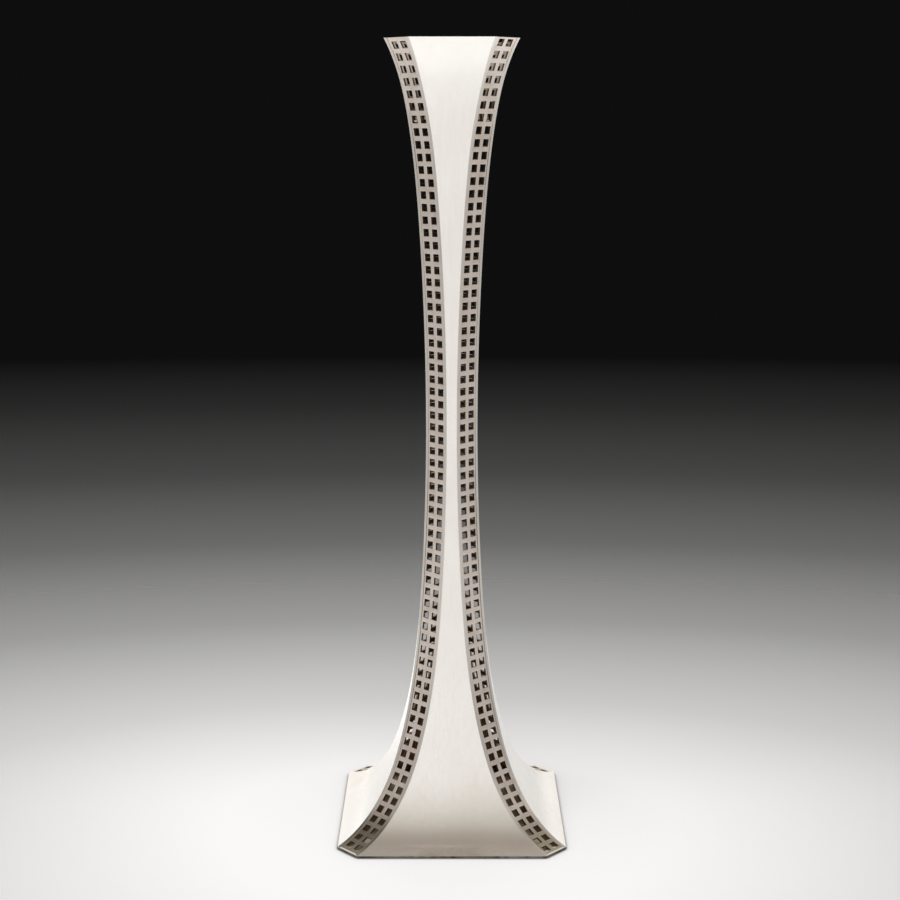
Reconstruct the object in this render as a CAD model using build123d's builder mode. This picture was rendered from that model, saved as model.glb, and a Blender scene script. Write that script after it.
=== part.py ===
"""Tall square candlestick: four flaring panels joined by four pierced corner strips.

Millimetres, +Z up, the front panel faces -Y. The origin is the centre of the foot's underside.
"""

import os
from math import sqrt

from build123d import *

os.makedirs("parts", exist_ok=True)

# ---- driving dimensions ---------------------------------------------------------------------------
HEIGHT = 358.0
FOOT_HALF = 51.9  # half the width of the foot rim
FOOT_EDGE = 1.3  # thickness of the foot rim, and so the height at which the panels start
FOOT_RIM_WIDTH = 5.0
SHEET = 1.0  # thickness of the panels and of the pierced strips

# The flare: half the width across two opposite panels, the height, and how much of each face the
# cut-off corner takes there.
FLARE = [
    (51.6, FOOT_EDGE, 9.4),
    (44.4, 5.0, 9.4),
    (37.9, 11.0, 9.4),
    (30.8, 22.0, 9.5),
    (24.2, 40.0, 9.6),
    (18.4, 68.0, 9.7),
    (14.25, 110.0, 9.7),
    (11.9, 190.0, 9.4),
    (13.0, 250.0, 9.4),
    (15.4, 292.0, 9.4),
    (18.7, 322.0, 9.4),
    (23.0, 343.0, 9.4),
    (28.9, HEIGHT, 10.8),
]
CORNER_LEG = FLARE[0][2]

# Pierced corner strips
STRIP_RECESS = 0.3  # the strip lies this far inside the mitred edges of the panels
STRIP_HALF = 5.3  # half the width of a strip between those edges
HOLE = 3.2  # side of a square hole
COLUMN_PITCH = 5.35  # between the two columns
ROWS = 69
# Along the strip, from the rim to the middle of the first row, and from row to row. They were marked
# out by hand, so one strip starts a little lower, and its rows are a little closer.
MARKING_OUT = {
    "front_right": (2.7, 5.5),
    "back_right": (2.7, 5.5),
    "back_left": (2.7, 5.5),
    "front_left": (3.7, 5.478),
}

# Lift-out insert: a wax pan that carries the candle cup
PAN_HEIGHT = 324.0  # underside of the pan
PAN_GAP = 0.4  # clearance between the pan and the walls around it
PAN_SHEET = 0.8
PAN_LIP = 3.0  # height of the pan's turned-up edge
CANDLE_RADIUS = 11.25  # bore of the cup, for a 22 mm candle
CUP_WALL = 0.8
CUP_HEIGHT = 24.0
BEAD_RADIUS = 1.1
COLLAR_WIDTH = 2.6
COLLAR_HEIGHT = 3.2
TAB_WIDTH = 6.0
TAB_REACH = 2.6  # how far a tab stands in under the pan
TAB_THICKNESS = 1.2

SQUARE_TURNS = {"front": -90, "right": 0, "back": 90, "left": 180}
FOOT_LEVEL = Plane.XY.offset(FOOT_EDGE)
RIM_LEVEL = Plane.XY.offset(HEIGHT)
CORNER_TURNS = {"front_right": -45, "back_right": 45, "back_left": 135, "front_left": -135}
INSET_STATIONS = 40  # points along a curve that is parallel to another


# ---- curves of the flare --------------------------------------------------------------------------
def upright(angle):
    """Vertical plane through the axis: local x points outward at this angle, local y points up."""
    return Plane.XZ.rotated((0, 0, angle))


def parallel_curve(curve, depth):
    """The curve moved towards the inside of the object, square to itself."""
    points = []
    for station in range(INSET_STATIONS + 1):
        along = station / INSET_STATIONS
        heading = curve % along
        points.append(curve @ along + Vector(-heading.Y, heading.X) * depth)
    return Spline(*points)


PANEL_OUTSIDE = Spline(*[(half, height) for half, height, leg in FLARE])
PANEL_INSIDE = parallel_curve(PANEL_OUTSIDE, SHEET)

# In a diagonal plane everything is sqrt(2) further out, less half of the cut-off corner.
CORNER_EDGE = Spline(*[(sqrt(2) * (half - leg / 2), height) for half, height, leg in FLARE])
STRIP_OUTSIDE = parallel_curve(CORNER_EDGE, STRIP_RECESS)
STRIP_INSIDE = parallel_curve(CORNER_EDGE, STRIP_RECESS + SHEET)


def distance_out(curve, height):
    """How far from the axis a curve is at this height."""
    low, high = 0.0, 1.0
    while high - low > 1e-7:
        middle = (low + high) / 2
        if (curve @ middle).Y < height:
            low = middle
        else:
            high = middle
    return (curve @ low).X


def sheet_section(outside, inside):
    """Section of a bent sheet between two curves."""
    with BuildSketch() as section:
        with BuildLine():
            add(outside)
            add(inside)
            Line(outside @ 0, inside @ 0)
            Line(outside @ 1, inside @ 1)
        make_face()
    return section.sketch


def full_section(edge):
    """Everything between a curve and its mirror image on the other side of the axis."""
    with BuildSketch() as section:
        with BuildLine():
            add(edge)
            Line(edge @ 0, (0, (edge @ 0).Y))
            Line(edge @ 1, (0, (edge @ 1).Y))
            mirror(about=Plane.YZ)
        make_face()
    return section.sketch


def save(piece, name):
    piece.part.label = name
    export_step(piece.part, f"parts/{name}.step")


# ---- the four plain panels ------------------------------------------------------------------------
# Each is one bent sheet. Both long edges are mitred on the surface of the cut-off corner, and stop
# upright beside the strip.
for side, turn in SQUARE_TURNS.items():
    with BuildPart() as panel:
        with BuildSketch(upright(turn)):
            add(sheet_section(PANEL_OUTSIDE, PANEL_INSIDE))
        extrude(amount=FOOT_HALF, both=True)
        for corner in (-45, 45):
            with BuildSketch(upright(turn + corner)):
                add(full_section(CORNER_EDGE))
            extrude(amount=2 * FOOT_HALF, both=True, mode=Mode.INTERSECT)
        for corner in (-45, 45):
            with BuildSketch(Plane.XY.rotated((0, 0, turn + corner))):
                Rectangle(2 * FOOT_HALF, 2 * STRIP_HALF, align=(Align.MIN, Align.CENTER))
            extrude(amount=HEIGHT, mode=Mode.SUBTRACT)
        split(bisect_by=FOOT_LEVEL, keep=Keep.TOP)
        split(bisect_by=RIM_LEVEL, keep=Keep.BOTTOM)
    save(panel, f"{side}_panel")


# ---- the four pierced corner strips ---------------------------------------------------------------
# Each is one bent sheet between the panels' mitred edges, and reaches in behind the panels as far as
# their inner surfaces let it.
def hole_rows(angle, first_row, pitch):
    """A plane in the middle of each row of holes, with local x across the strip."""
    plane = upright(angle)
    planes = []
    for row in range(ROWS):
        from_foot = STRIP_OUTSIDE.length - first_row - row * pitch
        middle = STRIP_OUTSIDE.position_at(from_foot, position_mode=PositionMode.LENGTH)
        heading = STRIP_OUTSIDE.tangent_at(from_foot, position_mode=PositionMode.LENGTH)
        outward = plane.from_local_coords(Vector(heading.Y, -heading.X)) - plane.origin
        planes.append(Plane(plane.from_local_coords(middle), x_dir=plane.z_dir, z_dir=outward))
    return planes


for corner, turn in CORNER_TURNS.items():
    with BuildPart() as strip:
        with BuildSketch(upright(turn)):
            add(sheet_section(STRIP_OUTSIDE, STRIP_INSIDE))
        extrude(amount=2 * CORNER_LEG, both=True)
        for neighbour in (-45, 45):
            with BuildSketch(upright(turn + neighbour)):
                add(full_section(PANEL_INSIDE))
            extrude(amount=2 * FOOT_HALF, both=True, mode=Mode.INTERSECT)
        with BuildSketch(upright(turn)):
            add(sheet_section(STRIP_OUTSIDE, STRIP_INSIDE))
        extrude(amount=STRIP_HALF, both=True)
        split(bisect_by=FOOT_LEVEL, keep=Keep.TOP)
        split(bisect_by=RIM_LEVEL, keep=Keep.BOTTOM)
        with Locations(*hole_rows(turn, *MARKING_OUT[corner])):
            with GridLocations(COLUMN_PITCH, HOLE, 2, 1):
                Box(HOLE, HOLE, 4 * SHEET, mode=Mode.SUBTRACT)
    save(strip, f"{corner}_strip")


# ---- foot rim: the flat ring that the eight sheets stand on ----------------------------------------
def cut_corner_square(half, leg):
    """Square of this half width, with its corners cut off."""
    with BuildSketch() as square:
        Rectangle(2 * half, 2 * half)
        chamfer(square.vertices(), leg)
    return square.sketch


with BuildPart() as foot_rim:
    with BuildSketch():
        add(cut_corner_square(FOOT_HALF, CORNER_LEG))
        offset(amount=-FOOT_RIM_WIDTH, mode=Mode.SUBTRACT)
    extrude(amount=FOOT_EDGE)
save(foot_rim, "foot_rim")


# ---- rest tabs: one small ledge inside each panel, under the pan -----------------------------------
tab_back = distance_out(PANEL_INSIDE, PAN_HEIGHT) - PAN_GAP - TAB_REACH
with BuildPart() as rest_tabs:
    for turn in SQUARE_TURNS.values():
        across = Plane.XY.rotated((0, 0, turn))
        with BuildSketch(across.offset(PAN_HEIGHT - TAB_THICKNESS)):
            with Locations((tab_back, 0)):
                Rectangle(FOOT_HALF, TAB_WIDTH, align=(Align.MIN, Align.CENTER))
        extrude(amount=TAB_THICKNESS)
    for turn in (0, 90):
        with BuildSketch(upright(turn)):
            add(full_section(PANEL_INSIDE))
        extrude(amount=2 * FOOT_HALF, both=True, mode=Mode.INTERSECT)
save(rest_tabs, "rest_tabs")


# ---- the insert ------------------------------------------------------------------------------------
PAN_HALF = distance_out(PANEL_INSIDE, PAN_HEIGHT) - PAN_GAP
PAN_DIAGONAL = distance_out(STRIP_INSIDE, PAN_HEIGHT) - PAN_GAP
PAN_LEG = 2 * (PAN_HALF - PAN_DIAGONAL / sqrt(2))

with BuildPart() as drip_pan:
    with BuildSketch(Plane.XY.offset(PAN_HEIGHT)):
        add(cut_corner_square(PAN_HALF, PAN_LEG))
    extrude(amount=PAN_LIP)
    upper_face = drip_pan.faces().sort_by(Axis.Z)[-1]
    offset(amount=-PAN_SHEET, openings=upper_face, kind=Kind.INTERSECTION)
save(drip_pan, "drip_pan")

CUP_FOOT = PAN_HEIGHT + PAN_SHEET
CUP_OUTSIDE = CANDLE_RADIUS + CUP_WALL

with BuildPart() as candle_cup:
    with BuildSketch(Plane.XY.offset(CUP_FOOT)):
        Circle(CUP_OUTSIDE)
    extrude(amount=CUP_HEIGHT)
    with BuildSketch(Plane.XY.offset(CUP_FOOT + CUP_WALL)):
        Circle(CANDLE_RADIUS)
    extrude(amount=CUP_HEIGHT, mode=Mode.SUBTRACT)
save(candle_cup, "candle_cup")

# Half-round wire around the mouth of the cup.
with BuildPart() as cup_bead:
    with BuildSketch(Plane.XZ):
        with Locations((CUP_OUTSIDE, CUP_FOOT + CUP_HEIGHT - BEAD_RADIUS)):
            Circle(BEAD_RADIUS)
        with Locations((CUP_OUTSIDE, CUP_FOOT)):
            Rectangle(4 * BEAD_RADIUS, 3 * CUP_HEIGHT, align=(Align.MAX, Align.CENTER), mode=Mode.SUBTRACT)
    revolve(axis=Axis.Z)
save(cup_bead, "cup_bead")

# Hollowed moulding around the cup where it stands on the pan.
with BuildPart() as cup_collar:
    with BuildSketch(Plane.XZ):
        with BuildLine():
            foot = (CUP_OUTSIDE + COLLAR_WIDTH, CUP_FOOT)
            toe = (CUP_OUTSIDE + COLLAR_WIDTH, CUP_FOOT + PAN_SHEET)
            top = (CUP_OUTSIDE, CUP_FOOT + COLLAR_HEIGHT)
            Line((CUP_OUTSIDE, CUP_FOOT), foot)
            Line(foot, toe)
            RadiusArc(toe, top, COLLAR_HEIGHT)
            Line(top, (CUP_OUTSIDE, CUP_FOOT))
        make_face()
    revolve(axis=Axis.Z)
save(cup_collar, "cup_collar")
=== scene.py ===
import math
import random

import bpy
import numpy as np
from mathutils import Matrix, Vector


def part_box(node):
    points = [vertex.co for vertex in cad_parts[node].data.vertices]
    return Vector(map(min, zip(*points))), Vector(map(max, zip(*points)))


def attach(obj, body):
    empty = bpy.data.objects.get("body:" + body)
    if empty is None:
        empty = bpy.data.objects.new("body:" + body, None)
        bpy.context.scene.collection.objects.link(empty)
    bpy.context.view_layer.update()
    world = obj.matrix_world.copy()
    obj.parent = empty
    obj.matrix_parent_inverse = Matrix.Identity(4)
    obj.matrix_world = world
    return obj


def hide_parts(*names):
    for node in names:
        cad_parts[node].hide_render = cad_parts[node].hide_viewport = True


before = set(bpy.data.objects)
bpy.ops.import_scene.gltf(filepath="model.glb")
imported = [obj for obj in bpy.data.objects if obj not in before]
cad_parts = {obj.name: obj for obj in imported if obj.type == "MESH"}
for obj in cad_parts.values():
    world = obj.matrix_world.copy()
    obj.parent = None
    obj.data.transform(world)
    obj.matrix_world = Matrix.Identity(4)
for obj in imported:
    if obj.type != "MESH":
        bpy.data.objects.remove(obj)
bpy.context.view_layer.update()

MM = 0.001
SIDES = {"front": -90, "right": 0, "back": 90, "left": 180}
CORNERS = {"front_right": -45, "back_right": 45, "back_left": 135, "front_left": -135}

# ---- sizes, read from the frame ------------------------------------------------------------------
rim_low, rim_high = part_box("foot_rim")
FOOT_HALF = rim_high.x
FOOT_EDGE = rim_high.z
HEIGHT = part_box("front_panel")[1].z
SHEET = 1.0 * MM

# The pierced strips, as in the CAD model
# How much of each face the cut-off corner takes, against the height, both in millimetres
CORNER_LEGS = [(9.4, 1.3), (9.4, 11), (9.5, 22), (9.6, 40), (9.7, 68), (9.7, 110),
               (9.4, 190), (9.4, 250), (9.4, 292), (9.4, 322), (9.4, 343), (10.8, 358)]
CORNER_LEG = CORNER_LEGS[0][0] * MM
STRIP_RECESS = 0.15 * MM
STRIP_HALF = 5.3 * MM
HOLE = 3.2 * MM
COLUMN_PITCH = 5.35 * MM
ROWS = 69
# From the rim to the first row of holes, and from row to row. One strip was marked out a little
# lower and closer than the others.
MARKING_OUT = dict.fromkeys(CORNERS, (2.7 * MM, 5.5 * MM))
MARKING_OUT["front_left"] = (3.7 * MM, 5.478 * MM)
HAND_SHIFT = 0.06 * MM  # how far a hand-sawn hole strays from its place
HAND_SIZE = 0.02  # and by what share its size varies
HOLE_WEAR = 1.04  # the file and the years have opened the holes a little

# The foot rim, the lift-out insert and the tabs under it
FOOT_RIM_WIDTH = 5.0 * MM
PAN_SHEET = 0.8 * MM
CUP_WALL = 0.8 * MM
CUP_SWEEP = 1.2 * MM  # radius in the corner of the cup's floor
TAB_HALF_WIDTH = 3.0 * MM
TAB_REACH = 2.6 * MM  # how far a tab stands in under the pan


# ---- the flare, as a smooth curve ----------------------------------------------------------------
class Curve:
    """Natural cubic spline through points of a vertical plane: column 0 outward, column 1 up."""

    def __init__(self, points):
        self.points = np.asarray(points, float)
        chords = np.hypot(*np.diff(self.points, axis=0).T)
        self.knots = np.concatenate([[0], np.cumsum(chords)])
        self.bends = self._second_derivatives(chords)
        self.length = self.knots[-1]

    def _second_derivatives(self, chords):
        count = len(self.points)
        matrix = np.eye(count)
        right = np.zeros((count, 2))
        slopes = np.diff(self.points, axis=0) / chords[:, None]
        for i in range(1, count - 1):
            matrix[i, i - 1 : i + 2] = chords[i - 1], 2 * (chords[i - 1] + chords[i]), chords[i]
            right[i] = 6 * (slopes[i] - slopes[i - 1])
        return np.linalg.solve(matrix, right)

    def at(self, along):
        """Points and unit headings at these distances from the foot."""
        along = np.clip(np.asarray(along, float), 0, self.length)
        i = np.clip(np.searchsorted(self.knots, along) - 1, 0, len(self.knots) - 2)
        step = (self.knots[i + 1] - self.knots[i])[..., None]
        b = (along - self.knots[i])[..., None] / step
        a = 1 - b
        low, high = self.points[i], self.points[i + 1]
        bend_low, bend_high = self.bends[i], self.bends[i + 1]
        point = a * low + b * high + ((a**3 - a) * bend_low + (b**3 - b) * bend_high) * step**2 / 6
        heading = (high - low) / step + ((1 - 3 * a**2) * bend_low + (3 * b**2 - 1) * bend_high) * step / 6
        heading /= np.linalg.norm(heading, axis=-1, keepdims=True)
        return point, heading

    def inset(self, depth, stations=400):
        """The curve moved inwards, square to itself."""
        point, heading = self.at(np.linspace(0, self.length, stations))
        inward = np.stack([-heading[:, 1], heading[:, 0]], axis=1)
        return Curve(point + inward * depth)

    def along_at_height(self, height):
        samples = np.linspace(0, self.length, 4000)
        return np.interp(height, self.at(samples)[0][:, 1], samples)

    def out_at_height(self, height):
        return self.at(self.along_at_height(height))[0][..., 0]


def outer_profile(node):
    """The panel's outer surface in section, from the CAD node that faces -Y."""
    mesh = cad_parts[node].data
    levels = {}
    for face in mesh.polygons:
        if abs(face.normal.x) < 1e-3 and face.normal.y < -0.1:
            for i in face.vertices:
                spot = mesh.vertices[i].co
                levels[round(spot.z / (0.01 * MM))] = (-spot.y, spot.z)
    return [levels[key] for key in sorted(levels)]


PANEL_OUTSIDE = Curve(outer_profile("front_panel"))
PANEL_INSIDE = PANEL_OUTSIDE.inset(SHEET)
LEGS = Curve([(leg * MM, height * MM) for leg, height in CORNER_LEGS])
diagonal_points = PANEL_OUTSIDE.at(np.linspace(0, PANEL_OUTSIDE.length, 400))[0]
diagonal_points[:, 0] -= LEGS.out_at_height(diagonal_points[:, 1]) / 2
diagonal_points[:, 0] *= math.sqrt(2)
CORNER_EDGE = Curve(diagonal_points)
STRIP_OUTSIDE = CORNER_EDGE.inset(STRIP_RECESS)
STRIP_INSIDE = STRIP_OUTSIDE.inset(SHEET)


def turned(out, across, up, angle):
    """A point given outward, across and up, turned about the axis to face this way."""
    c, s = math.cos(math.radians(angle)), math.sin(math.radians(angle))
    return (out * c - across * s, out * s + across * c, up)


def new_mesh(name, points, faces, materials, face_slots=None):
    mesh = bpy.data.meshes.new(name)
    mesh.from_pydata([tuple(p) for p in points], [], faces)
    for material in materials:
        mesh.materials.append(material)
    if face_slots:
        mesh.polygons.foreach_set("material_index", face_slots)
    piece = bpy.data.objects.new(name, mesh)
    bpy.context.scene.collection.objects.link(piece)
    return piece


def soften(piece, width, segments=2, angle=35):
    """Merge, round the edges that are sharper than the angle, and shade smooth."""
    weld = piece.modifiers.new("weld", "WELD")
    weld.merge_threshold = 0.005 * MM
    bevel = piece.modifiers.new("bevel", "BEVEL")
    bevel.width = width
    bevel.segments = segments
    bevel.limit_method = "ANGLE"
    bevel.angle_limit = math.radians(angle)
    bevel.use_clamp_overlap = True
    normals = piece.modifiers.new("normals", "WEIGHTED_NORMAL")
    normals.keep_sharp = False
    normals.weight = 80
    for face in piece.data.polygons:
        face.use_smooth = True
    settle(piece)


def settle(piece):
    """Apply every modifier."""
    evaluated = piece.evaluated_get(bpy.context.evaluated_depsgraph_get())
    finished = bpy.data.meshes.new_from_object(evaluated)
    finished.name = piece.name
    piece.modifiers.clear()
    piece.data = finished


def stand_for(piece, node, body):
    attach(piece, body)
    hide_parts(node)


# ---- materials -----------------------------------------------------------------------------------
class Nodes:
    """Short calls for building a material's nodes."""

    def __init__(self, name):
        self.material = bpy.data.materials.new(name)
        self.material.use_nodes = True
        self.tree = self.material.node_tree
        self.shader = self.tree.nodes["Principled BSDF"]
        self.place = self.add("ShaderNodeTexCoord").outputs["Object"]

    def add(self, kind, inputs=None, **settings):
        node = self.tree.nodes.new(kind)
        for key, value in settings.items():
            setattr(node, key, value)
        for key, value in (inputs or {}).items():
            if isinstance(value, bpy.types.NodeSocket):
                self.tree.links.new(value, node.inputs[key])
            else:
                node.inputs[key].default_value = value
        return node

    def stretch(self, x, y, z):
        return self.add("ShaderNodeMapping", {"Vector": self.place, "Scale": (x, y, z)}).outputs[0]

    def noise(self, scale, detail=3.0, rough=0.5, place=None):
        inputs = {"Vector": place or self.place, "Scale": scale, "Detail": detail, "Roughness": rough}
        return self.add("ShaderNodeTexNoise", inputs).outputs["Fac"]

    def ramp(self, value, low, high, to_low, to_high):
        inputs = {"Value": value, 1: low, 2: high, 3: to_low, 4: to_high}
        return self.add("ShaderNodeMapRange", inputs, interpolation_type="SMOOTHERSTEP").outputs[0]

    def mix(self, share, first, second):
        node = self.add("ShaderNodeMix", data_type="RGBA")
        for socket, value in zip((node.inputs[0], node.inputs[6], node.inputs[7]), (share, first, second)):
            if isinstance(value, bpy.types.NodeSocket):
                self.tree.links.new(value, socket)
            else:
                socket.default_value = value
        return node.outputs[2]

    def bump(self, height, distance, strength=1.0, under=None):
        inputs = {"Height": height, "Distance": distance, "Strength": strength}
        if under is not None:
            inputs["Normal"] = under
        return self.add("ShaderNodeBump", inputs).outputs[0]

    def times(self, value, by):
        return self.add("ShaderNodeMath", {0: value, 1: by}, operation="MULTIPLY").outputs[0]

    def set(self, key, value):
        if isinstance(value, bpy.types.NodeSocket):
            self.tree.links.new(value, self.shader.inputs[key])
        else:
            self.shader.inputs[key].default_value = value


def set_stops(ramp, stops):
    """Give a colour ramp these stops, each a position and a colour."""
    elements = ramp.color_ramp.elements
    while len(elements) < len(stops):
        elements.new(1.0)
    for element, (position, colour) in zip(elements, stops):
        element.position = position
        element.color = (*colour, 1)


STREAK_SHARE = 0.35  # how much of the tarnish the streaks left by wiping carry
BROWNED = (2 * MM, 16 * MM)  # the strips are fully brown at the first height, and not at all at the second


def silver(name, mottle, bright, tarnish, rough_low, rough_high, wave, scratch, at_foot=None):
    """Silver with a breath of tarnish, uneven polish, faint planishing and fine polishing lines.

    Mottle is how fine the tarnish is. Wave and scratch are the depths of the planishing and the lines.
    Where at_foot is given, the colour turns to it near the foot.
    """
    n = Nodes(name)
    breath = n.ramp(n.noise(mottle, 5, 0.6), 0.3, 0.95, 0.0, 1.0)
    streaks = n.noise(1, 4, 0.65, n.stretch(620, 620, 14))
    toned = n.mix(breath, bright, tarnish)
    if at_foot:
        height = n.add("ShaderNodeSeparateXYZ", {0: n.place}).outputs[2]
        toned = n.mix(n.ramp(height, *BROWNED, 1.0, 0.0), toned, at_foot)
    n.set("Base Color", n.mix(n.ramp(streaks, 0.25, 0.95, 0.0, STREAK_SHARE), toned, tarnish))
    n.set("Metallic", 1.0)
    polish = n.add("ShaderNodeMath", {0: n.noise(60, 4, 0.6), 1: streaks}, operation="ADD").outputs[0]
    n.set("Roughness", n.ramp(polish, 0.4, 1.6, rough_low, rough_high))
    planished = n.bump(n.noise(55, 1, 0.4), wave)
    wiped = n.bump(streaks, scratch, 1.0, planished)
    n.set("Normal", n.bump(n.noise(1, 3, 0.6, n.stretch(2600, 2600, 90)), 0.3 * scratch, 0.5, wiped))
    return n.material


PANEL_SILVER = silver(
    "panel_silver", mottle=22,
    bright=(0.95, 0.928, 0.895, 1), tarnish=(0.85, 0.81, 0.75, 1),
    rough_low=0.14, rough_high=0.26, wave=0.06 * MM, scratch=0.01 * MM,
)
STRIP_SILVER = silver(
    "strip_silver", mottle=130,
    bright=(0.95, 0.855, 0.785, 1), tarnish=(0.70, 0.59, 0.50, 1), at_foot=(0.58, 0.515, 0.395, 1),
    rough_low=0.28, rough_high=0.42, wave=0.04 * MM, scratch=0.01 * MM,
)
EDGE_SILVER = silver(
    "edge_silver", mottle=60,
    bright=(0.93, 0.90, 0.85, 1), tarnish=(0.80, 0.75, 0.68, 1),
    rough_low=0.16, rough_high=0.26, wave=0.02 * MM, scratch=0.006 * MM,
)
INSERT_SILVER = silver(
    "insert_silver", mottle=40,
    bright=(0.93, 0.91, 0.875, 1), tarnish=(0.84, 0.80, 0.74, 1),
    rough_low=0.12, rough_high=0.26, wave=0.03 * MM, scratch=0.006 * MM,
)
HOLE_SILVER = silver(
    "hole_silver", mottle=60,
    bright=(0.26, 0.21, 0.155, 1), tarnish=(0.13, 0.10, 0.07, 1),
    rough_low=0.34, rough_high=0.48, wave=0.01 * MM, scratch=0.003 * MM,
)


FOOT_TONE = (20 * MM, 90 * MM)  # the inside is a warm brown at the first height, and dark at the second


def inside_silver():
    """Polished as far down as the pan, dull and dark with age below it, and a warmer brown in the foot."""
    n = Nodes("inside_silver")
    height = n.add("ShaderNodeSeparateXYZ", {0: n.place}).outputs[2]
    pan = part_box("drip_pan")[0].z
    aged = n.ramp(height, pan - 4 * MM, pan + 24 * MM, 1.0, 0.15)
    stem = n.mix(n.noise(90, 4, 0.6), (0.08, 0.057, 0.037, 1), (0.17, 0.125, 0.085, 1))
    foot = n.mix(n.noise(90, 4, 0.6), (0.45, 0.345, 0.235, 1), (0.70, 0.55, 0.40, 1))
    clouds = n.mix(n.ramp(height, *FOOT_TONE, 1.0, 0.0), stem, foot)
    n.set("Base Color", n.mix(aged, (0.86, 0.83, 0.78, 1), clouds))
    n.set("Metallic", 1.0)
    n.set("Roughness", n.ramp(aged, 0, 1, 0.3, 0.55))
    n.set("Normal", n.bump(n.noise(400, 3, 0.6), 0.00002))
    return n.material


def foot_silver():
    """Silver that is worn bright on top of the rim, with a dark brown painted shade on its lower edge,
    where it meets the floor.
    """
    n = Nodes("foot_silver")
    height = n.add("ShaderNodeSeparateXYZ", {0: n.place}).outputs[2]
    # painted shade: the lowest fifth of the rim turns dark brown where it meets the floor
    brown = n.ramp(height, 0.8 * FOOT_EDGE, FOOT_EDGE, 1.0, 0.0)
    patchy = n.ramp(n.noise(260, 4, 0.6), 0.25, 0.75, 0.75, 1.0)
    share = n.times(brown, patchy)
    n.set("Base Color", n.mix(share, (0.82, 0.78, 0.72, 1), (0.075, 0.056, 0.04, 1)))
    n.set("Metallic", 1.0)
    n.set("Roughness", n.ramp(share, 0, 1, 0.28, 0.5))
    n.set("Normal", n.bump(n.noise(700, 3, 0.6), 0.00001))
    return n.material


INSIDE_SILVER = inside_silver()
FOOT_SILVER_AND_PAINTED_SHADE = foot_silver()


# ---- panels --------------------------------------------------------------------------------------
def stations(curve, count):
    """Shares of the curve's length, closer together where it bends."""
    along = np.linspace(0, curve.length, 2000)
    heading = curve.at(along)[1]
    turn = np.abs(np.diff(np.unwrap(np.arctan2(heading[:, 1], heading[:, 0]))))
    weight = np.concatenate([[0], np.cumsum(turn / turn.sum() + np.diff(along) / curve.length)])
    return np.interp(np.linspace(0, weight[-1], count), weight, along) / curve.length


def trimmed(curve, shares):
    """Points at these shares of the part of the curve between the foot rim and the top."""
    start, end = curve.along_at_height(FOOT_EDGE), curve.along_at_height(HEIGHT)
    return curve.at(start + shares * (end - start))[0]


PANEL_ROWS = 170
PANEL_COLUMNS = 12
MITRE_STEPS = 60  # places tried through the sheet for where the mitre meets the strip's edge


def panel_sheet(side, angle):
    shares = stations(PANEL_OUTSIDE, PANEL_ROWS)
    outside = trimmed(PANEL_OUTSIDE, shares)
    inside = trimmed(PANEL_INSIDE, shares)
    blend = np.linspace(0, 1, MITRE_STEPS)
    points = []
    for outer, inner in zip(outside, inside):
        through = outer + blend[:, None] * (inner - outer)
        mitred = math.sqrt(2) * CORNER_EDGE.out_at_height(through[:, 1]) - through[:, 0]
        beside = through[:, 0] - math.sqrt(2) * STRIP_HALF
        past = beside < mitred
        middle = through[np.argmax(past)] if past.any() else inner
        reach = [min(math.sqrt(2) * CORNER_EDGE.out_at_height(spot[1]) - spot[0],
                     spot[0] - math.sqrt(2) * STRIP_HALF) for spot in (outer, middle, inner)]
        spread = np.linspace(-1, 1, PANEL_COLUMNS + 1)
        ring = [(outer[0], across, outer[1]) for across in reach[0] * spread]
        ring.append((middle[0], reach[1], middle[1]))
        ring += [(inner[0], across, inner[1]) for across in -reach[2] * spread]
        ring.append((middle[0], -reach[1], middle[1]))
        points += [turned(*spot, angle) for spot in ring]
    around = 2 * PANEL_COLUMNS + 4
    last = len(points) - around
    faces, slots = [], []
    for row in range(PANEL_ROWS - 1):
        for j in range(around):
            a, b = row * around + j, row * around + (j + 1) % around
            faces.append((a, b, b + around, a + around))
            outer_face = j < PANEL_COLUMNS
            inner_face = PANEL_COLUMNS + 2 <= j < 2 * PANEL_COLUMNS + 2
            slots.append(0 if outer_face else 2 if inner_face else 1)
    for end in (0, last):
        for j in range(PANEL_COLUMNS):
            back = 2 * PANEL_COLUMNS + 2 - j
            cap = (end + j, end + back, end + back - 1, end + j + 1)
            faces.append(cap if end == 0 else cap[::-1])
            slots.append(1)
        left = (end, end + around - 1, end + around - 2)
        right = (end + PANEL_COLUMNS, end + PANEL_COLUMNS + 2, end + PANEL_COLUMNS + 1)
        for cap in (left, right):
            faces.append(cap if end == 0 else cap[::-1])
            slots.append(1)
    name = f"{side}_panel_sheet"
    piece = new_mesh(name, points, faces, [PANEL_SILVER, EDGE_SILVER, INSIDE_SILVER], slots)
    soften(piece, 0.14 * MM, angle=12)
    stand_for(piece, f"{side}_panel", "stand")


# ---- pierced corner strips -----------------------------------------------------------------------
def strip_grid(first_row, pitch):
    """Distances along the strip and across it at which the holes and bars begin and end."""
    curve = STRIP_OUTSIDE
    start, end = curve.along_at_height(FOOT_EDGE), curve.along_at_height(HEIGHT)
    rows = [curve.length - first_row - row * pitch for row in range(ROWS)]
    along = [start, end]
    for middle in rows:
        along += [middle - HOLE / 2, middle, middle + HOLE / 2, middle + pitch / 2]
    dense = np.linspace(start, end, 4000)
    point, heading = curve.at(dense)
    inner_height = point[:, 1] + heading[:, 0] * SHEET
    along.append(dense[np.argmax(inner_height > FOOT_EDGE)])
    along.append(dense[np.argmax(inner_height > HEIGHT)])
    along = sorted(spot for spot in along if start <= spot <= end)
    half = COLUMN_PITCH / 2
    across = [half - HOLE / 2, half, half + HOLE / 2]
    return rows, along, [-spot for spot in across[::-1]] + [0.0] + across


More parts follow.
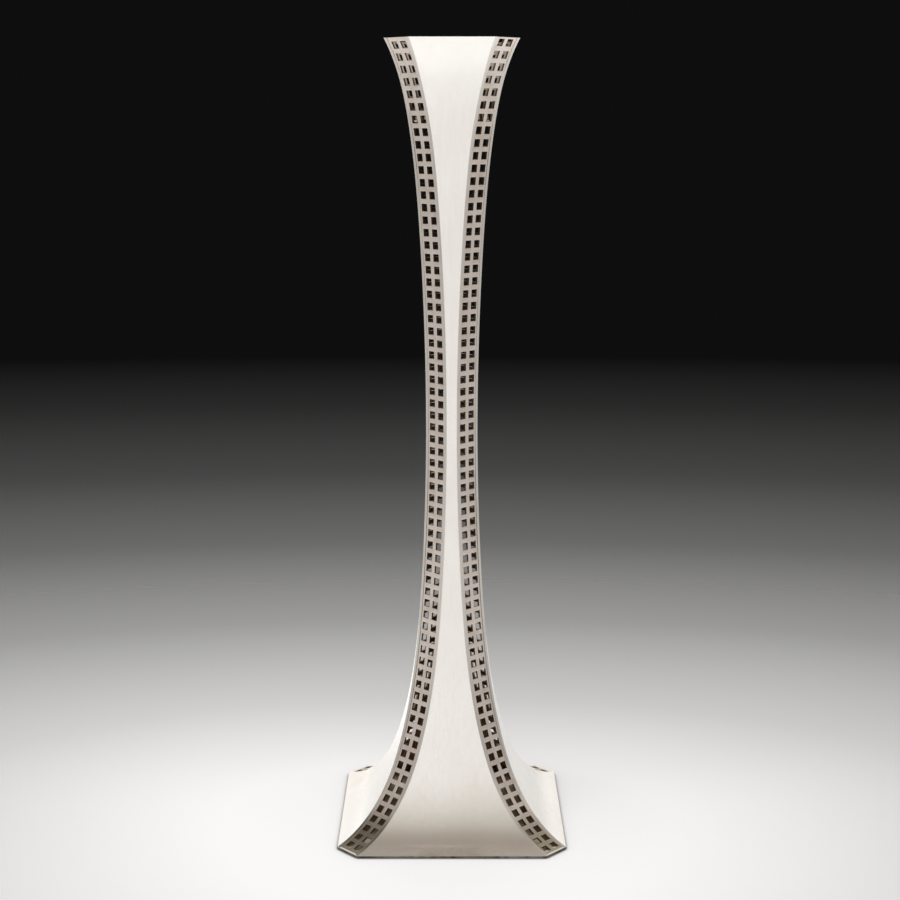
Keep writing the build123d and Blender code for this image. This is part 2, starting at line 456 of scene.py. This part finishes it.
def pierced_strip(corner, angle, seed):
    shift = random.Random(seed)
    first_row, pitch = MARKING_OUT[corner]
    rows, along, inner_columns = strip_grid(first_row, pitch)
    curve = STRIP_OUTSIDE
    holes = []
    for row in rows:
        for column in (-COLUMN_PITCH / 2, COLUMN_PITCH / 2):
            holes.append({
                "middle": (row, column),
                "shift": [shift.uniform(-HAND_SHIFT, HAND_SHIFT) for _ in range(2)],
                "grow": [HOLE_WEAR + shift.uniform(-HAND_SIZE, HAND_SIZE) for _ in range(2)],
            })

    def hole_at(spot, column, slack):
        row = round((curve.length - first_row - spot) / pitch)
        if not 0 <= row < ROWS or abs(abs(column) - COLUMN_PITCH / 2) > HOLE / 2 + slack:
            return None
        found = holes[2 * row + (column > 0)]
        return found if abs(spot - found["middle"][0]) <= HOLE / 2 + slack else None

    columns = len(inner_columns) + 2
    points = []
    for spot in along:
        for layer_depth in (0.0, SHEET):
            point, heading = curve.at(spot)
            depth = layer_depth
            rise = heading[0]
            if depth and rise < 0:
                depth = min(depth, (point[1] - FOOT_EDGE) / -rise)
            elif depth and rise > 0:
                depth = min(depth, (HEIGHT - point[1]) / rise)
            sunk = point + depth * np.array([-heading[1], heading[0]])
            reach = math.sqrt(2) * PANEL_INSIDE.out_at_height(sunk[1]) - sunk[0]
            reach = max(STRIP_HALF, reach) - 0.01 * MM
            for column in [-reach] + inner_columns + [reach]:
                hole = hole_at(spot, column, 1e-7)
                place, side = sunk, column
                if hole:
                    middle = hole["middle"]
                    moved = middle[0] + (spot - middle[0]) * hole["grow"][0] + hole["shift"][0]
                    side = middle[1] + (column - middle[1]) * hole["grow"][1] + hole["shift"][1]
                    place = sunk + heading * (moved - spot)
                    place[1] = min(max(place[1], FOOT_EDGE), HEIGHT)
                points.append(turned(place[0], side, place[1], angle))

    def solid(i, j):
        if not (0 <= i < len(along) - 1 and 0 <= j < columns - 1):
            return False
        if j in (0, columns - 2):
            return True
        middle = (inner_columns[j - 1] + inner_columns[j]) / 2
        return hole_at((along[i] + along[i + 1]) / 2, middle, -0.1 * MM) is None

    faces, slots = [], []

    def corner_of(i, j, layer):
        return (2 * i + layer) * columns + j

    for i in range(len(along) - 1):
        for j in range(columns - 1):
            if not solid(i, j):
                continue
            square = [(i, j), (i, j + 1), (i + 1, j + 1), (i + 1, j)]
            faces.append([corner_of(*spot, 0) for spot in square])
            slots.append(0)
            faces.append([corner_of(*spot, 1) for spot in square[::-1]])
            slots.append(1)
            beside = [(i - 1, j), (i, j + 1), (i + 1, j), (i, j - 1)]
            for k, neighbour in enumerate(beside):
                if not solid(*neighbour):
                    a, b = square[k], square[(k + 1) % 4]
                    faces.append([corner_of(*b, 0), corner_of(*a, 0), corner_of(*a, 1), corner_of(*b, 1)])
                    in_hole = 0 <= neighbour[0] < len(along) - 1 and 0 <= neighbour[1] < columns - 1
                    slots.append(2 if in_hole else 0)
    name = f"{corner}_pierced_strip"
    piece = new_mesh(name, points, faces, [STRIP_SILVER, INSIDE_SILVER, HOLE_SILVER], slots)
    soften(piece, 0.1 * MM)
    stand_for(piece, f"{corner}_strip", "stand")


# ---- foot rim ------------------------------------------------------------------------------------
def cut_square(half, leg):
    """Corners of a square with its corners cut off, counter-clockwise."""
    spots = []
    for turn in range(4):
        for across in (-(half - leg), half - leg):
            spots.append(turned(half, across, 0, 90 * turn)[:2])
    return spots


def ring_between(name, loops, material):
    """A closed ring skinned over these loops of points, each with the same number."""
    count = len(loops[0])
    points = [spot for loop in loops for spot in loop]
    faces = []
    for k in range(len(loops)):
        low, high = k * count, (k + 1) % len(loops) * count
        for j in range(count):
            after = (j + 1) % count
            faces.append((low + j, low + after, high + after, high + j))
    return new_mesh(name, points, faces, [material])


def foot_rim_ring():
    inner_half = FOOT_HALF - FOOT_RIM_WIDTH
    inner_leg = CORNER_LEG - FOOT_RIM_WIDTH * (2 - math.sqrt(2))
    loops = []
    for half, leg, up in (
        (FOOT_HALF, CORNER_LEG, 0),
        (FOOT_HALF, CORNER_LEG, FOOT_EDGE),
        (inner_half, inner_leg, FOOT_EDGE),
        (inner_half, inner_leg, 0),
    ):
        loops.append([(x, y, up) for x, y in cut_square(half, leg)])
    piece = ring_between("foot_rim_ring", loops, FOOT_SILVER_AND_PAINTED_SHADE)
    soften(piece, 0.3 * MM, 3)
    stand_for(piece, "foot_rim", "stand")


# ---- rest tabs and the lift-out insert -------------------------------------------------------------
def bar_between(ends, faces_from):
    """Points and faces of a bar with a four-sided section at each of two ends."""
    k = faces_from
    faces = [(0, 1, 2, 3), (7, 6, 5, 4), (0, 4, 5, 1), (1, 5, 6, 2), (2, 6, 7, 3), (3, 7, 4, 0)]
    return [spot for end in ends for spot in end], [tuple(k + i for i in face) for face in faces]


def rest_tab_set():
    low, high = (corner.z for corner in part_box("rest_tabs"))
    half_width = TAB_HALF_WIDTH
    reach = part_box("drip_pan")[1].x - TAB_REACH
    points, faces = [], []
    for angle in SIDES.values():
        ends = []
        for height in (low, high):
            wall = PANEL_INSIDE.out_at_height(height)
            corners = [(reach, -half_width), (wall, -half_width), (wall, half_width), (reach, half_width)]
            ends.append([turned(out, across, height, angle) for out, across in corners])
        more_points, more_faces = bar_between(ends, len(points))
        points += more_points
        faces += more_faces
    piece = new_mesh("rest_tab_set", points, faces, [EDGE_SILVER])
    soften(piece, 0.3 * MM, 3)
    stand_for(piece, "rest_tabs", "stand")


def pan_tray():
    low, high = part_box("drip_pan")
    half, gap = high.x, PANEL_INSIDE.out_at_height(low.z) - high.x
    diagonal = STRIP_INSIDE.out_at_height(low.z) - gap
    leg = 2 * (half - diagonal / math.sqrt(2))
    inner_leg = leg - PAN_SHEET * (2 - math.sqrt(2))
    loops = [
        [(*spot, up) for spot in cut_square(out, cut)]
        for out, cut, up in (
            (half, leg, low.z),
            (half, leg, high.z),
            (half - PAN_SHEET, inner_leg, high.z),
            (half - PAN_SHEET, inner_leg, low.z + PAN_SHEET),
        )
    ]
    points = [spot for loop in loops for spot in loop]
    faces = [tuple(range(8))[::-1], tuple(range(24, 32))]
    for low_row in range(3):
        for j in range(8):
            a, b = 8 * low_row + j, 8 * low_row + (j + 1) % 8
            faces.append((a, b, b + 8, a + 8))
    piece = new_mesh("drip_pan_tray", points, faces, [INSERT_SILVER])
    soften(piece, 0.25 * MM, 3)
    stand_for(piece, "drip_pan", "insert")


LATHE_STEPS = 128


def lathed(name, profile, node):
    """Turn a profile of (radius, height) about the axis. It starts and ends on the axis, or closes up."""
    capped = profile[0][0] == 0
    rings = profile[1:-1] if capped else profile
    count = LATHE_STEPS
    points = [turned(radius, 0, up, 360 * k / count) for radius, up in rings for k in range(count)]
    faces = []
    pairs = list(zip(range(len(rings)), range(1, len(rings))))
    if not capped:
        pairs.append((len(rings) - 1, 0))
    for low, high in pairs:
        for k in range(count):
            after = (k + 1) % count
            faces.append((low * count + k, low * count + after, high * count + after, high * count + k))
    if capped:
        first, last = len(points), len(points) + 1
        points += [(0, 0, profile[0][1]), (0, 0, profile[-1][1])]
        top = (len(rings) - 1) * count
        for k in range(count):
            after = (k + 1) % count
            faces.append((first, after, k))
            faces.append((last, top + k, top + after))
    piece = new_mesh(name, points, faces, [INSERT_SILVER])
    soften(piece, 0.04 * MM, 2, 50)
    stand_for(piece, node, "insert")


def arc(middle, radius, start, end, steps):
    """Points of an arc in the profile plane, angles in degrees."""
    angles = np.radians(np.linspace(start, end, steps + 1))
    return [(middle[0] + radius * math.cos(a), middle[1] + radius * math.sin(a)) for a in angles]


def cup_and_mouldings():
    low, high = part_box("candle_cup")
    outside = high.x
    bore = outside - CUP_WALL
    lip = CUP_WALL / 2
    profile = [(0, low.z), (outside, low.z)]
    profile += arc((outside - lip, high.z - lip), lip, 0, 180, 10)
    profile += arc((bore - CUP_SWEEP, low.z + CUP_WALL + CUP_SWEEP), CUP_SWEEP, 0, -90, 8)
    profile.append((0, low.z + CUP_WALL))
    lathed("candle_cup_wall", profile, "candle_cup")

    low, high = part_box("cup_bead")
    radius = (high.z - low.z) / 2
    lathed("cup_lip_bead", arc((outside, low.z + radius), radius, -90, 90, 14), "cup_bead")

    low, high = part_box("cup_collar")
    rise = high.z - low.z
    toe, top = (high.x, low.z + PAN_SHEET), (outside, high.z)
    chord = math.dist(toe, top)
    away = math.sqrt(rise**2 - (chord / 2) ** 2) / chord
    middle = (
        (toe[0] + top[0]) / 2 + (top[1] - toe[1]) * away,
        (toe[1] + top[1]) / 2 + (toe[0] - top[0]) * away,
    )
    angles = [
        math.degrees(math.atan2(spot[1] - middle[1], spot[0] - middle[0])) % 360 for spot in (toe, top)
    ]
    profile = [(outside, low.z), (high.x, low.z)] + arc(middle, rise, *angles, 10)
    lathed("cup_foot_collar", profile, "cup_collar")


# ---- build it --------------------------------------------------------------------------------------
for side, angle in SIDES.items():
    panel_sheet(side, angle)
for seed, (corner, angle) in enumerate(CORNERS.items()):
    pierced_strip(corner, angle, seed)
foot_rim_ring()
rest_tab_set()
pan_tray()
cup_and_mouldings()


# ---- floor, light and camera ---------------------------------------------------------------------
# The floor fades into the dark of the studio: how solid it is at these distances behind the object.
FLOOR_FADE = [(0.06, 1.0), (0.15, 0.68), (0.3, 0.37), (0.5, 0.17), (0.75, 0.075), (1.1, 0.028), (1.5, 0.0)]
SLOWER = 0.55  # it fades over a longer way to the sides and in front
FLOOR_HALF = 3.0
FLOOR_COLOUR = (0.85, 0.86, 0.875, 1)
CONTACT_REACH = 9 * MM  # how far from the foot the floor still carries a little painted shade
# the colour of the painted contact shade on the floor beside the foot
PAINTED_CONTACT_SHADE = (0.30, 0.295, 0.29, 1)
PAINTED_UNDER_SHADE = (0.72, 0.59, 0.45, 1)  # painted shade on the floor inside the foot, tinted brown to stand for the light the old silver throws there


def pale_floor():
    """A pale floor that fades out, with a little painted shade beside the foot and a painted brown shade
    where the foot covers it.
    """
    n = Nodes("pale_floor")
    x, y, _ = n.add("ShaderNodeSeparateXYZ", {0: n.place}).outputs
    wide = n.add("ShaderNodeMath", {0: x}, operation="ABSOLUTE").outputs[0]
    deep = n.add("ShaderNodeMath", {0: y}, operation="ABSOLUTE").outputs[0]
    widest = n.add("ShaderNodeMath", {0: wide, 1: deep}, operation="MAXIMUM").outputs[0]
    # painted shade: where the foot covers the floor, its colour turns brown
    under = n.ramp(widest, FOOT_HALF - 6 * MM, FOOT_HALF - 4 * MM, 1.0, 0.0)
    # painted shade: the floor's colour darkens where the foot hides its sky
    open_sky = n.add("ShaderNodeAmbientOcclusion", {"Distance": CONTACT_REACH}, samples=8).outputs["AO"]
    shaded = n.mix(n.ramp(open_sky, 0.45, 1.0, 1.0, 0.0), FLOOR_COLOUR, PAINTED_CONTACT_SHADE)
    n.set("Base Color", n.mix(under, shaded, PAINTED_UNDER_SHADE))
    n.set("Roughness", 0.6)
    n.set("Specular IOR Level", 0.2)
    near = n.stretch(SLOWER, SLOWER, 1)
    behind = n.add("ShaderNodeMath", {0: y, 1: 0.0}, operation="MAXIMUM").outputs[0]
    further = n.add("ShaderNodeCombineXYZ", {1: n.times(behind, 1 - SLOWER)}).outputs[0]
    way = n.add("ShaderNodeVectorMath", {0: near, 1: further}, operation="ADD").outputs[0]
    distance = n.add("ShaderNodeVectorMath", {0: way}, operation="LENGTH").outputs["Value"]
    reach = FLOOR_FADE[-1][0]
    solid = n.add("ShaderNodeValToRGB", {0: n.times(distance, 1 / reach)})
    set_stops(solid, [(spot / reach, (share, share, share)) for spot, share in FLOOR_FADE])
    clear = n.add("ShaderNodeBsdfTransparent").outputs[0]
    mixed = n.add("ShaderNodeMixShader", {0: solid.outputs[0], 1: clear, 2: n.shader.outputs[0]}).outputs[0]
    n.tree.links.new(mixed, n.tree.nodes["Material Output"].inputs[0])
    half = FLOOR_HALF
    floor = new_mesh("floor", [(-half, -half, 0), (half, -half, 0), (half, half, 0), (-half, half, 0)],
                     [(0, 1, 2, 3)], [n.material])


# Brightness of the studio by the sine of elevation: bright below and level, dimmer overhead
STUDIO = [
    (-1.0, (1.0, 0.99, 0.975)),
    (-0.62, (1.0, 0.99, 0.975)),
    (-0.5, (0.80, 0.785, 0.77)),
    (-0.2, (0.72, 0.705, 0.69)),
    (0.0, (0.74, 0.725, 0.71)),
    (0.34, (0.74, 0.72, 0.703)),
    (0.64, (0.62, 0.60, 0.57)),
    (0.87, (0.46, 0.43, 0.39)),
    (1.0, (0.29, 0.255, 0.22)),
]
STUDIO_STRENGTH = 1.15
# How bright the studio is to either side, against in front, by the sine of elevation
SIDE_SHARES = [(-1.0, 0.56), (-0.3, 0.56), (-0.02, 0.47), (0.25, 0.47), (0.6, 0.56), (1.0, 0.56)]
DARK_CORNER = (0.43, 0.52, 0.74)  # the way to an unlit corner of it, and mirrored on the left
DARK_ROOM = (0.0045, 0.0045, 0.0045, 1)


def softbox(name, spot, aim, width, height, power):
    """A rectangular light, turned to shine at a point."""
    light = bpy.data.lights.new(name, "AREA")
    light.shape = "RECTANGLE"
    light.size, light.size_y = width, height
    light.energy = power
    lamp = bpy.data.objects.new(name, light)
    bpy.context.scene.collection.objects.link(lamp)
    lamp.location = spot
    x, y, z = np.array(aim) - np.array(spot)
    lamp.rotation_euler = (math.atan2(math.hypot(x, y), -z), 0, math.atan2(y, x) - math.pi / 2)
    return lamp


def studio():
    """A softly lit room, seen only in reflections and as light, with a dark backdrop."""
    world = bpy.data.worlds.new("studio")
    world.use_nodes = True
    bpy.context.scene.world = world
    tree = world.node_tree
    tree.nodes.clear()

    def add(kind, inputs=None, **settings):
        node = tree.nodes.new(kind)
        for key, value in settings.items():
            setattr(node, key, value)
        for key, value in (inputs or {}).items():
            if isinstance(value, bpy.types.NodeSocket):
                tree.links.new(value, node.inputs[key])
            else:
                node.inputs[key].default_value = value
        return node

    place = add("ShaderNodeTexCoord").outputs["Generated"]
    heading = add("ShaderNodeSeparateXYZ", {0: place}).outputs
    level = add("ShaderNodeMapRange", {0: heading[2], 1: -1, 2: 1}).outputs[0]
    shades = add("ShaderNodeValToRGB", {0: level})
    set_stops(shades, [((sine + 1) / 2, colour) for sine, colour in STUDIO])

    # dimmer to either side
    sideways = add("ShaderNodeMath", {0: heading[0]}, operation="ABSOLUTE").outputs[0]
    shares = add("ShaderNodeValToRGB", {0: level})
    set_stops(shares, [((sine + 1) / 2, (share, share, share)) for sine, share in SIDE_SHARES])
    side = add("ShaderNodeMapRange", {0: sideways, 1: 0.4, 2: 0.92, 3: 1, 4: shares.outputs[0]},
               interpolation_type="SMOOTHSTEP").outputs[0]

    # windows behind to the right and in front to the left
    diagonal = add("ShaderNodeMath", {0: heading[0], 1: heading[1]}, operation="MULTIPLY").outputs[0]
    windows = add("ShaderNodeMapRange", {0: diagonal, 1: -0.45, 2: 0.45, 3: 0.68, 4: 1.4},
                  interpolation_type="SMOOTHSTEP").outputs[0]

    # behind: bright low on the left, and on the right bright above and dim below
    left = add("ShaderNodeMapRange", {0: heading[2], 1: -0.3, 2: 0.15, 3: 2.6, 4: 1.75}).outputs[0]
    right = add("ShaderNodeMapRange", {0: heading[2], 1: -0.3, 2: 0.15, 3: 0.25, 4: 0.86}).outputs[0]
    across = add("ShaderNodeMapRange", {0: heading[0], 1: -0.25, 2: 0.25, 3: left, 4: right}).outputs[0]
    behind = add("ShaderNodeMapRange", {0: heading[1], 1: 0.6, 2: 0.95, 3: 1, 4: across},
                 interpolation_type="SMOOTHSTEP").outputs[0]

    # the two unlit corners
    folded = add("ShaderNodeCombineXYZ", {0: sideways, 1: heading[1], 2: heading[2]}).outputs[0]
    towards = add("ShaderNodeVectorMath", {0: folded, 1: DARK_CORNER},
                  operation="DOT_PRODUCT").outputs["Value"]
    darkest = add("ShaderNodeMapRange", {0: heading[0], 1: -0.2, 2: 0.2, 3: 0.2, 4: 0.5}).outputs[0]
    corner = add("ShaderNodeMapRange", {0: towards, 1: 0.87, 2: 0.98, 3: 1, 4: darkest},
                 interpolation_type="SMOOTHSTEP").outputs[0]

    strength = STUDIO_STRENGTH
    for factor in (side, windows, behind, corner):
        strength = add("ShaderNodeMath", {0: factor, 1: strength}, operation="MULTIPLY").outputs[0]

    # the camera sees a dark room in its place
    room = add("ShaderNodeBackground", {0: shades.outputs[0], 1: strength}).outputs[0]
    dark = add("ShaderNodeBackground", {0: DARK_ROOM, 1: 1.0}).outputs[0]
    seen = add("ShaderNodeLightPath").outputs["Is Camera Ray"]
    mixed = add("ShaderNodeMixShader", {0: seen, 1: room, 2: dark}).outputs[0]
    tree.links.new(mixed, add("ShaderNodeOutputWorld").inputs[0])

    floor_light = softbox("floor_light", spot=(-0.2, -0.3, 1.6), aim=(0, 0, 0),
                          width=1.0, height=1.0, power=19)
    floor_light.visible_glossy = False  # it would be a hard glint in the silver


def camera():
    """Where the photographer stood, a little above the rim and looking down."""
    lens = bpy.data.cameras.new("camera")
    lens.lens = 64.35
    lens.sensor_width = 36
    eye = bpy.data.objects.new("camera", lens)
    bpy.context.scene.collection.objects.link(eye)
    eye.location = (-0.8 * MM, -0.7203, 0.3246)
    eye.rotation_euler = (math.radians(90 - 11.65), 0, 0)
    bpy.context.scene.camera = eye


pale_floor()
studio()
camera()
bpy.context.scene.view_settings.view_transform = "Standard"
